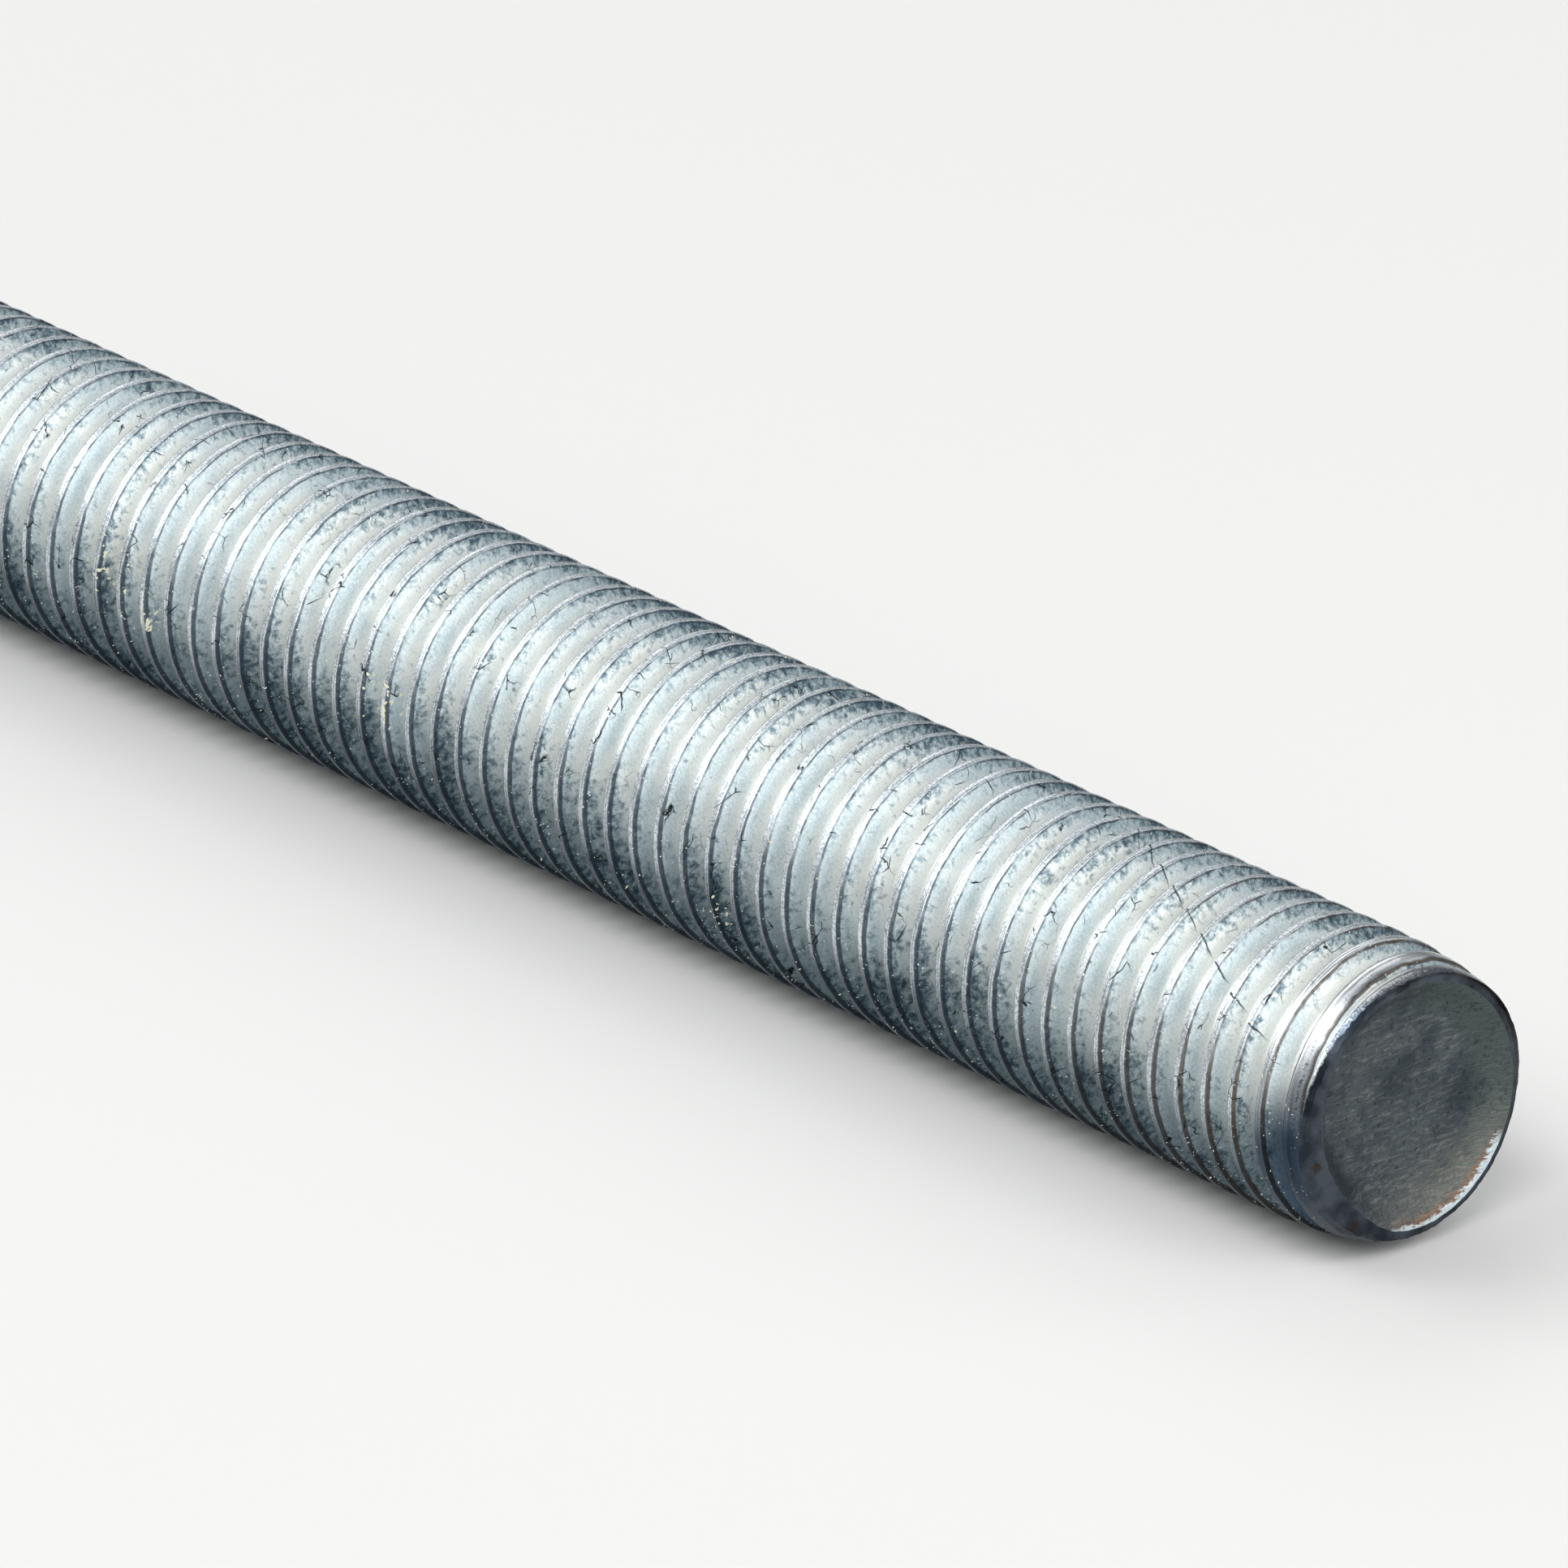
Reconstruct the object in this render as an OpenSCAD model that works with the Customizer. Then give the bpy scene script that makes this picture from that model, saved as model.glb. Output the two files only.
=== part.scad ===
// A length of fully threaded rod, plated steel, lying along X with its crests on the ground.
// The near end is the one at +X. Both ends are cropped, rounded down and slightly dished.

/* [Thread] */
// Diameter over the crests
major_d = 15.8; // [12:0.1:24]
// Distance from one crest to the next
pitch = 2; // [1.5:0.25:3]
// Angle between the two flanks of the groove
flank_angle = 60; // [55:1:65]
// Direction round the rod in which a crest reaches the near end
start_angle = 206; // [0:2:358]

/* [Rod] */
// Length over both ends
rod_length = 150; // [100:5:200]

/* [Thread at the ends] */
// Length over which the groove fades out toward an end
fade_l = 2.2; // [1:0.1:6]
// How far the groove's floor has risen at the very end
fade_h = 1.05; // [0.6:0.05:1.4]

/* [Ends] */
// Length over which the crests round down toward an end
nose_l = 5.75; // [3:0.25:8]
// Radius of that rounding, seen from the side
nose_r = 24; // [16:1:60]
// Length of the small bevel at the very end
bevel_l = 0.25; // [0.1:0.05:0.8]
// How far the small bevel goes in
bevel_h = 0.22; // [0.1:0.02:0.6]
// Width of the flat lip round the dish
lip_w = 0.9; // [0.4:0.05:1.4]
// Width of the sloping wall inside the lip
dish_w = 0.9; // [0.6:0.05:1.8]
// Depth of the dish
dish_depth = 0.8; // [0.2:0.05:1.2]

/* [Hidden] */

major_r = major_d / 2;
// Sharp height of the thread, and the shares of it and of the pitch that a metric thread leaves flat
sharp_h = pitch / 2 / tan(flank_angle / 2);
crest_share = 1 / 8;
root_share = 1 / 4;
apex_r = major_r + crest_share * sharp_h;
root_r = apex_r - (1 - root_share) * sharp_h;
root_w = root_share * pitch;

// The flats round a turn are as many as the facets allow, and cross the true radius
facets = 8400;
turns = ceil(rod_length / pitch) + 2;
sides = min(24, floor(facets / turns / 6));
swell = 2 / (1 + cos(180 / sides));

nose_steps = 6;
bevel_r = major_r - nose_drop(bevel_l);
lip_r = bevel_r - bevel_h;
dish_r = lip_r - lip_w;
floor_r = dish_r - dish_w;

// How far the crests have rounded down at distance s from an end
function nose_drop(s) = nose_r - sqrt(nose_r ^ 2 - (nose_l - s) ^ 2);

// How far the groove has risen at height z along the rod
function groove_rise(z) = fade_h * max(0, 1 - min(z, rod_length - z) / fade_l);

// One pitch of the sharp thread, from crest to crest, as [radius, height]
profile = [
    [apex_r, 0],
    [root_r, (pitch - root_w) / 2],
    [root_r, (pitch + root_w) / 2],
];

// Outline of one end from the axis to the full diameter, as [radius, distance from the end]
end_outline = [
    [0, dish_depth],
    [floor_r, dish_depth],
    [dish_r, 0],
    [lip_r, 0],
    for (i = [0:nose_steps])
        let (s = bevel_l + (nose_l - bevel_l) * i / nose_steps)
            [major_r - nose_drop(s), s],
];

// The helix: point k of the profile after i steps of the turn, with a crest at the near end
function thread_point(i, k) =
    let (
        angle = 360 * i / sides,
        z = rod_length + profile[k][1] + pitch * (i / sides + 1 - turns),
        r = swell * (profile[k][0] + groove_rise(z))
    )
    [r * cos(angle), r * sin(angle), z];

// Sharp-crested thread, longer than the rod at both ends
module sharp_thread() {
    steps = turns * sides;
    count = len(profile);
    // The last point of one turn is the first point of the next
    function at(i, k) = k < count ? i * count + k : (i + sides) * count;
    points = [
        for (i = [0:steps + sides]) for (k = [0:count - 1]) thread_point(i, k),
        [0, 0, rod_length + pitch * (1 - turns)],
        [0, 0, rod_length + pitch * 2],
    ];
    low_hub = (steps + sides + 1) * count;
    high_hub = low_hub + 1;
    flanks = [
        for (i = [0:steps - 1]) for (k = [0:count - 1]) each [
            [at(i, k), at(i + 1, k + 1), at(i + 1, k)],
            [at(i, k), at(i, k + 1), at(i + 1, k + 1)],
        ],
    ];
    low_cap = [
        for (i = [0:sides - 1]) [low_hub, at(i, 0), at(i + 1, 0)],
        for (k = [0:count - 1]) [low_hub, at(0, k + 1), at(0, k)],
    ];
    high_cap = [
        for (i = [steps:steps + sides - 1]) [high_hub, at(i + 1, 0), at(i, 0)],
        for (k = [0:count - 1]) [high_hub, at(steps, k), at(steps, k + 1)],
    ];
    polyhedron(points, concat(flanks, low_cap, high_cap), convexity = 10);
}

// Round bar with rounded, bevelled and dished ends, as wide as the crests
module blank() {
    near_half = [for (i = [len(end_outline) - 1:-1:0])
        [end_outline[i][0], rod_length - end_outline[i][1]]];
    rotate_extrude($fn = 96) polygon(concat(end_outline, near_half));
}

module rod() {
    color("#a9b3ba")
        translate([-rod_length / 2, 0, major_r])
        rotate([0, 90, 0])
        intersection() {
            rotate([0, 0, start_angle]) sharp_thread();
            blank();
        }
}

rod();
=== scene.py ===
import math

import bmesh
import bpy
import numpy as np
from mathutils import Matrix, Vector, noise


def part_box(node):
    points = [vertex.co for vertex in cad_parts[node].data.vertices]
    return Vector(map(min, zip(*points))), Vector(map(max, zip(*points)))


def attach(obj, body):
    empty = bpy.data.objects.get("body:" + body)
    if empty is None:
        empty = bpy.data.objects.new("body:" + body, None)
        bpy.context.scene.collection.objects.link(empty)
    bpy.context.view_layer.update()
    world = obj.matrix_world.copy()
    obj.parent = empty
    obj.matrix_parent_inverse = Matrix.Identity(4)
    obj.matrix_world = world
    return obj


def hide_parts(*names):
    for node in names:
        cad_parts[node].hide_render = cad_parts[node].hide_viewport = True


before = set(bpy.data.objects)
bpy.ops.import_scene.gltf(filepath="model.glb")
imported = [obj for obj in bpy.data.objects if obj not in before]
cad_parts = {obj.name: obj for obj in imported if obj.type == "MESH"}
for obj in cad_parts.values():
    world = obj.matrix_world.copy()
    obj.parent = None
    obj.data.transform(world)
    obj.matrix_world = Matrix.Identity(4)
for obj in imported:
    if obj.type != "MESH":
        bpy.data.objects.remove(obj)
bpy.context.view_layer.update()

millimetre = 0.001
rodLow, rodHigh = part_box("rod")
rodLength = (rodHigh[0] - rodLow[0]) / millimetre
crestRadius = (rodHigh[2] - rodLow[2]) / 2 / millimetre


def hexColour(code):
    # sRGB hex to the linear colour that a shader takes
    parts = [int(code[i:i + 2], 16) / 255 for i in (1, 3, 5)]
    return tuple(c / 12.92 if c <= 0.04045 else ((c + 0.055) / 1.055) ** 2.4 for c in parts) + (1.0,)


def addNode(tree, kind, inputs=None, output=0, **settings):
    # adds a shader node and gives back one of its outputs
    # inputs holds numbers or colours for the node's sockets, or the sockets that feed them
    node = tree.nodes.new("ShaderNode" + kind)
    for name, value in settings.items():
        setattr(node, name, value)
    for name, value in (inputs or {}).items():
        if isinstance(value, bpy.types.NodeSocket):
            tree.links.new(value, node.inputs[name])
        else:
            node.inputs[name].default_value = value
    return node.outputs[output]


def span(low, high):
    # the two values of a pattern between which a mask goes from none to full
    return {"From Min": low, "From Max": high}


def cosineToward(tree, turn, angle):
    # turn is the angle round the rod: 1 on its side at an angle in degrees, -1 opposite
    off = addNode(tree, "Math", {0: turn, 1: math.radians(angle)}, operation="SUBTRACT")
    return addNode(tree, "Math", {0: off}, operation="COSINE")


# Camera: a long lens from the near end's right side, looking down on the rod
cameraView = {
    "target": (23.4, 2.9, 7.9),  # mm, where the middle of the picture meets the height of the axis
    "azimuth": 48.25,  # degrees round from straight in front of the rod
    "elevation": 24.11,
    "distance": 920.8,  # mm
    "lens": 400.0,
    "sensor": 36.0,
}


def makeCamera(view):
    camera = bpy.data.objects.new("camera", bpy.data.cameras.new("camera"))
    bpy.context.scene.collection.objects.link(camera)
    camera.data.lens = view["lens"]
    camera.data.sensor_width = view["sensor"]
    camera.data.clip_start = 0.05
    camera.data.clip_end = 20.0
    a, e = math.radians(view["azimuth"]), math.radians(view["elevation"])
    back = Vector((math.sin(a) * math.cos(e), -math.cos(a) * math.cos(e), math.sin(e)))
    target = Vector(view["target"]) * millimetre
    camera.location = target + back * view["distance"] * millimetre
    camera.rotation_mode = "QUATERNION"
    camera.rotation_quaternion = back.to_track_quat("Z", "Y")
    bpy.context.scene.camera = camera


makeCamera(cameraView)
print("camera placed")


# Threaded rod: the thread's helix, the rounded nose at both ends and the cropped, dished ends
threadForm = {
    "pitch": 2.0,  # mm
    "flankAngle": 60.0,  # degrees between the two flanks of the groove
    "startAngle": 206.0,  # where a crest reaches the near end, degrees round the rod
    "crestShare": 0.165,  # of the sharp height left off at the crest, as on a bar rolled a little thin
    "rootShare": 1 / 4,  # of the pitch, left for the rounded root
    "shoulder": 0.06,  # mm over which a crest rounds into its flank
    "fadeLength": 2.2,  # mm over which the groove fades out toward an end
    "fadeRise": 1.05,  # mm by which it has risen at the very end
    "noseLength": 5.75,  # mm over which the crests round down
    "noseRadius": 24.0,  # mm
    "stepsPerTurn": 70,
    "fineSteps": 5,  # times as many steps in the last turns
    "fineLength": 2.6,  # mm from each end
    "overrun": (1.4, 0.6),  # mm of thread past the far and the near end, before it is cut
    "landMost": (0.93, 0.95),  # shares of half a pitch that a land fills at most, even and wandering
    "landWander": 0.20,  # share by which a crest's width wanders
    "wanderWaves": (0.13, 0.9),  # to the mm, the broad and the fine waves of that
    "foldDepth": 0.05,  # mm, the fold that rolling leaves along the top of a crest
    "foldWaves": (0.16, 0.8),
    "foldFade": (2.0, 6.0),  # mm from an end between which the fold sets in
    "unevenness": 0.014,  # mm
    "topWaves": 0.35,
    "grooveWaves": 0.8,
}
# Places across one pitch, in mm from the middle of a crest, where the thread's lines run
threadRows = [0.0, 0.07, 0.125, 0.18, 0.34, 0.54, 0.74, 0.87, 1.0, 1.13, 1.26, 1.55, 1.875, 1.93]

croppedEnd = {
    "cut": 1.0,  # mm from the end where the thread stops and the rings of the end begin
    "lean": 0.35,  # mm by which the lip leans back at its deepest side
    "leanAngle": 219.0,  # degrees round the rod of that side
    "tornRise": 0.39,  # mm by which the torn edge leans, toward the top
    "tornDepth": 0.40,  # mm from the end, at the middle of its lean
    "tornAngle": 146.0,
    "burntWidth": 0.11,  # mm, the dark strip that the blade leaves behind the torn edge
    "burntSpread": 0.16,  # mm more, a quarter way round from its widest side
    "burntAngle": 285.0,  # degrees round the rod of that side
    "toothHeight": 0.09,  # mm
    "toothLength": 0.35,  # mm
    "toothWaves": 0.7,  # to the mm, the broader waves that the teeth follow
    "lipOuter": 7.12,  # mm, radius
    # the lip's inner radius by the angle round the rod, least low on the -Y side, where the lip is widest
    "lipAngles": (0.0, 20.0, 90.0, 146.0, 236.0, 280.0, 293.0, 322.0, 333.0, 347.0, 360.0),
    "lipInner": (6.75, 6.85, 6.85, 6.72, 6.40, 6.10, 5.95, 6.00, 6.25, 6.62, 6.75),
    "wallWidth": 0.95,  # mm, where the wall is steepest
    "wallSpread": 0.55,  # mm more, a quarter way round from its gentlest side
    "wallAngle": 75.0,  # degrees round the rod of that side
    # shares of the wall's width and of the dish's depth at the rings of the wall
    "wallRings": ((0.06, 0.05), (0.3, 0.35), (0.6, 0.7), (0.85, 0.93), (1.1, 1.0)),
    "floorRings": (0.75, 0.5, 0.25),
    "floorRadius": 5.0,  # mm, the even round that the floor's rings turn to toward the middle
    "dishDepth": 0.80,  # mm
    "dishSag": 0.12,  # mm by which the dish's floor is deepest at its middle
}


def noseEnvelope(s):
    # radius that the crests reach at s mm from an end
    reach = np.maximum(threadForm["noseLength"] - s, 0)
    radius = threadForm["noseRadius"]
    return crestRadius - (radius - np.sqrt(radius ** 2 - reach ** 2))


def softMin(a, b, width):
    h = np.maximum(width - np.abs(a - b), 0) / width
    return np.minimum(a, b) - h * h * width / 4


def grooveRadius(d, s):
    # the groove's own radius at d mm from the middle of a crest, before the nose cuts it
    form = threadForm
    slope = 1 / math.tan(math.radians(form["flankAngle"] / 2))
    sharpHeight = form["pitch"] / 2 * slope
    half = form["pitch"] / 2
    fromCrest = half - np.abs(np.mod(d, form["pitch"]) - half)
    apex = crestRadius + form["crestShare"] * sharpHeight
    rootHalf = form["rootShare"] * form["pitch"] / 2
    rootRound = rootHalf / math.cos(math.radians(form["flankAngle"] / 2))
    centre = apex - (half - rootHalf) * slope + rootRound * math.sin(math.radians(form["flankAngle"] / 2))
    inRoot = np.clip(half - fromCrest, 0, rootHalf)
    bottom = centre - np.sqrt(rootRound ** 2 - inRoot ** 2)
    flank = apex - fromCrest * slope
    rise = form["fadeRise"] * np.maximum(0, 1 - s / form["fadeLength"])
    return np.where(half - fromCrest < rootHalf, bottom, flank) + rise


def waves(points, scale, seed):
    # smooth noise from -1 to 1 at points in mm, with scale waves to the mm
    shift = Vector((seed * 17.3, seed * 5.1, seed * 9.7))
    return np.array([noise.noise(Vector(p) * scale + shift) for p in points])


def onRod(angle, radius, z):
    # angle in degrees and z mm from the far end, to a place in the frame in mm
    a = np.radians(angle)
    return np.stack([z - rodLength / 2, radius * np.sin(a), crestRadius - radius * np.cos(a)], -1)


def helixSamples():
    # angles along the helix, finer in the last turns at both ends
    form = threadForm
    step = 360 / form["stepsPerTurn"]
    before, after = form["overrun"]
    low = math.floor(-before / form["pitch"] * form["stepsPerTurn"])
    high = math.ceil((rodLength + after) / form["pitch"] * form["stepsPerTurn"])
    angles = []
    for i in range(low, high):
        z = i / form["stepsPerTurn"] * form["pitch"]
        near = z > rodLength - form["fineLength"] or z < form["fineLength"] - form["pitch"]
        count = form["fineSteps"] if near else 1
        angles += [(i + j / count) * step for j in range(count)]
    return np.array(angles + [high * step])


def threadGrid():
    # the angle of each sample along the helix, and the vertices by sample and line of the thread
    form = threadForm
    angles = helixSamples()
    crestZ = form["pitch"] * angles / 360
    angle = angles + form["startAngle"] - rodLength / form["pitch"] * 360
    rows = np.array(threadRows)
    flat = threadRows[2]
    half = form["pitch"] / 2
    slope = 1 / math.tan(math.radians(form["flankAngle"] / 2))
    apex = crestRadius + form["crestShare"] * half * slope
    along = onRod(angle, crestRadius, crestZ)
    broad, fine = form["wanderWaves"]
    wander = 1 + form["landWander"] * (waves(along, broad, 1) + 0.5 * waves(along, fine, 2))
    broad, fine = form["foldWaves"]
    fold = np.clip(0.5 + 1.3 * waves(along, broad, 4) + 0.5 * waves(along, fine, 5), 0, 1)
    foldStart, foldFull = form["foldFade"]
    mostEven, most = form["landMost"]
    grid = np.zeros((len(angles), len(rows), 3))
    for k, v in enumerate(rows):
        sign = 1 if v <= half else -1
        fromCrest = v if v <= half else form["pitch"] - v
        z = crestZ + v
        for _ in range(3):
            s = np.minimum(z, rodLength - z)
            rise = form["fadeRise"] * np.maximum(0, 1 - s / form["fadeLength"])
            land = np.clip((apex + rise - noseEnvelope(s)) / slope, flat, mostEven * half) * wander
            land = np.minimum(land, most * half)
            if fromCrest <= flat:
                d = land * fromCrest / flat
            else:
                d = land + (half - land) * (fromCrest - flat) / (half - flat)
            z = crestZ + (d if sign > 0 else form["pitch"] - d)
        s = np.minimum(z, rodLength - z)
        place = onRod(angle, crestRadius, z)
        top = noseEnvelope(s) - form["unevenness"] * (1 + waves(place, form["topWaves"], 3)) / 2
        if fromCrest < flat / 2:
            top -= form["foldDepth"] * fold * np.clip((s - foldStart) / (foldFull - foldStart), 0, 1)
        groove = grooveRadius(d, s) + form["unevenness"] * waves(place, form["grooveWaves"], 6)
        radius = np.minimum(softMin(top, groove, form["shoulder"]), crestRadius)
        grid[:, k] = onRod(angle, radius, z)
    return angles, grid


def zipFaces(lower, upper):
    # triangles between two lines of (angle, vertex), the angles of both running over the same stretch
    faces, i, j = [], 0, 0
    while i < len(lower) - 1 or j < len(upper) - 1:
        if j == len(upper) - 1 or (i < len(lower) - 1 and lower[i + 1][0] <= upper[j + 1][0]):
            faces.append((lower[i][1], lower[i + 1][1], upper[j][1]))
            i += 1
        else:
            faces.append((lower[i][1], upper[j + 1][1], upper[j][1]))
            j += 1
    return faces


def threadFaces(angles):
    # the faces between the lines of one turn, and those that close its last line to the next turn's first
    count = len(threadRows)
    index = {round(a, 4): i for i, a in enumerate(angles)}
    at = lambda i, k: i * count + k
    faces = []
    for i in range(len(angles) - 1):
        for k in range(count - 1):
            faces.append((at(i, k), at(i + 1, k), at(i + 1, k + 1), at(i, k + 1)))
    closing = []
    i = 0
    while True:
        start = index.get(round(angles[i] + 360, 4))
        if start is None:
            i += 1
            if angles[i] + 360 > angles[-1]:
                break
            continue
        j = i + 1
        while j < len(angles) and index.get(round(angles[j] + 360, 4)) is None:
            j += 1
        if j == len(angles):
            break
        end = index[round(angles[j] + 360, 4)]
        if end - start == 1 and j - i == 1:
            closing.append((at(i, count - 1), at(j, count - 1), at(end, 0), at(start, 0)))
        else:
            lower = [(angles[m], at(m, count - 1)) for m in range(i, j + 1)]
            upper = [(angles[m] - 360, at(m, 0)) for m in range(start, end + 1)]
            closing += zipFaces(lower, upper)
        i = j
    return faces, closing


def endRings(seed):
    # the rings of a cropped end, from the cut inward: radius and depth as functions of the angle, which
    # finish is on the ring's outer side, and whether its edge is sharp
    end = croppedEnd

    def swing(a, angle):
        # 2 at an angle in degrees, 1 a quarter way round from it and 0 opposite
        return 1 + np.cos(np.radians(a - angle))

    def lip(a):
        return end["lean"] * swing(a, end["leanAngle"])

    def torn(a):
        return np.maximum(end["tornDepth"] - end["tornRise"] * (swing(a, end["tornAngle"]) - 1), 0.02)

    def teeth(a):
        spots = onRod(a, crestRadius, np.zeros(len(a)))
        fine = waves(spots, 1 / end["toothLength"], seed)
        return end["toothHeight"] * (fine + 0.6 * waves(spots, end["toothWaves"], seed + 1))

    def burnt(a):
        width = end["burntWidth"] + end["burntSpread"] * swing(a, end["burntAngle"])
        return np.minimum(torn(a) + width + 1.5 * teeth(a), end["cut"] - 0.02)

    def inner(a):
        return np.interp(np.mod(a, 360), end["lipAngles"], end["lipInner"])

    def wall(a):
        return end["wallWidth"] + end["wallSpread"] * swing(a, end["wallAngle"])

    def rounded(a, share):
        even = end["floorRadius"]
        return share * (even + share * (inner(a) - end["wallRings"][-1][0] * wall(a) - even))

    def sunk(a, share):
        deep = end["dishDepth"] + end["dishSag"] * (1 - share ** 2)
        return lip(a) * share + end["lean"] * (1 - share) + deep

    def noseDepth(a, share):
        return end["cut"] + (burnt(a) - end["cut"]) * share

    rings = []
    for share in (0.4, 0.8, 1.0):
        rings.append((lambda a, share=share: noseEnvelope(noseDepth(a, share)),
                      lambda a, share=share: noseDepth(a, share), 0, False))
    rings.append((lambda a: noseEnvelope(torn(a)) + np.minimum(teeth(a), 0) * 0.6,
                  lambda a: np.maximum(torn(a) + teeth(a), 0.005), 1, True))
    rings.append((lambda a: end["lipOuter"] + 0.5 * teeth(a), lambda a: lip(a) + 0.02, 1, True))
    rings.append((lambda a: (end["lipOuter"] + inner(a)) / 2,
                  lambda a: lip(a) + 0.02 + 0.2 * np.abs(teeth(a)), 1, False))
    rings.append((lambda a: inner(a) + 0.3 * teeth(a), lambda a: lip(a) + 0.03, 1, False))
    for across, deep in end["wallRings"]:
        rings.append((lambda a, across=across: inner(a) - wall(a) * across + 0.2 * teeth(a),
                      lambda a, deep=deep: lip(a) + end["dishDepth"] * deep, 2, False))
    for share in end["floorRings"]:
        rings.append((lambda a, share=share: rounded(a, share),
                      lambda a, share=share: sunk(a, share), 2, False))
    return rings


def closeEnd(bm, uvLayer, atNear, seed):
    end = croppedEnd
    cutX = (rodLength / 2 - end["cut"]) * (1 if atNear else -1) * millimetre
    rim = {v for e in bm.edges if len(e.link_faces) == 1 for v in e.verts if abs(v.co.x - cutX) < 1e-7}

    def angleOf(v):
        return math.degrees(math.atan2(v.co.y, crestRadius * millimetre - v.co.z)) % 360

    loop = sorted(rim, key=angleOf)
    angles = np.array([angleOf(v) for v in loop])
    above = loop
    for radius, depth, material, sharp in endRings(seed):
        s = depth(angles)
        z = rodLength - s if atNear else s
        spots = onRod(angles, radius(angles), z) * millimetre
        ring = [bm.verts.new(p) for p in spots]
        for i, v in enumerate(ring):
            j = (i + 1) % len(ring)
            corners = (above[i], above[j], ring[j], v)
            face = bm.faces.new(corners if atNear else corners[::-1])
            face.material_index = material
            face.smooth = True
            for corner in face.loops:
                first = corner.vert is above[i] or corner.vert is v
                turn = angles[i] if first else (angles[j] + (360 if j == 0 else 0))
                corner[uvLayer].uv = (math.radians(turn) * crestRadius, 0.0)
        if sharp:
            for i, v in enumerate(ring):
                bm.edges.get((v, ring[(i + 1) % len(ring)])).smooth = False
        above = ring
    middle = sum((v.co for v in above), Vector()) / len(above)
    hub = bm.verts.new(middle)
    for i, v in enumerate(above):
        corners = (v, above[(i + 1) % len(above)], hub)
        face = bm.faces.new(corners if atNear else corners[::-1])
        face.material_index = 2
        face.smooth = True


def makeRod():
    angles, grid = threadGrid()
    count = len(threadRows)
    faces, closing = threadFaces(angles)
    mesh = bpy.data.meshes.new("threaded_rod")
    mesh.from_pydata((grid.reshape(-1, 3) * millimetre).tolist(), [], faces + closing)
    # the UV map runs along the thread: x is mm along the helix, y is mm across from the middle of a crest
    corner = np.zeros(len(mesh.loops), dtype=np.int64)
    mesh.loops.foreach_get("vertex_index", corner)
    along = np.radians(angles[corner // count]) * crestRadius
    across = np.array(threadRows)[corner % count]
    firstClosing = mesh.polygons[len(faces)].loop_start
    closes = (np.arange(len(corner)) >= firstClosing) & (corner % count == 0)
    along[closes] -= 2 * math.pi * crestRadius
    across[closes] = threadForm["pitch"]
    layer = mesh.uv_layers.new(name="threadRun")
    layer.data.foreach_set("uv", np.stack([along, across], -1).ravel())
    bm = bmesh.new()
    bm.from_mesh(mesh)
    uvLayer = bm.loops.layers.uv["threadRun"]
    for face in bm.faces:
        face.smooth = True
    reach = (rodLength / 2 - croppedEnd["cut"]) * millimetre
    for side in (1, -1):
        bmesh.ops.bisect_plane(bm, geom=bm.verts[:] + bm.edges[:] + bm.faces[:], dist=1e-7,
                               plane_co=(side * reach, 0, 0), plane_no=(side, 0, 0), clear_outer=True)
    closeEnd(bm, uvLayer, True, 11)
    closeEnd(bm, uvLayer, False, 23)
    bmesh.ops.recalc_face_normals(bm, faces=bm.faces[:])
    bm.to_mesh(mesh)
    bm.free()
    rod = bpy.data.objects.new("threaded_rod", mesh)
    bpy.context.scene.collection.objects.link(rod)
    triangles = sum(len(p.vertices) - 2 for p in mesh.polygons)
    print("rod built,", triangles, "triangles")
    return rod


# Every metal here starts alike: fully metallic, default IOR, with its patterns laid out in mm
def startMetal(name):
    material = bpy.data.materials.new(name)
    material.use_nodes = True
    tree = material.node_tree
    shader = tree.nodes["Principled BSDF"]
    shader.inputs["Metallic"].default_value = 1.0
    place = addNode(tree, "TexCoord", output="Object")
    inMm = addNode(tree, "VectorMath", {0: place, 1: (1000.0, 1000.0, 1000.0)}, operation="MULTIPLY")
    return material, tree, shader, inMm


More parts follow.
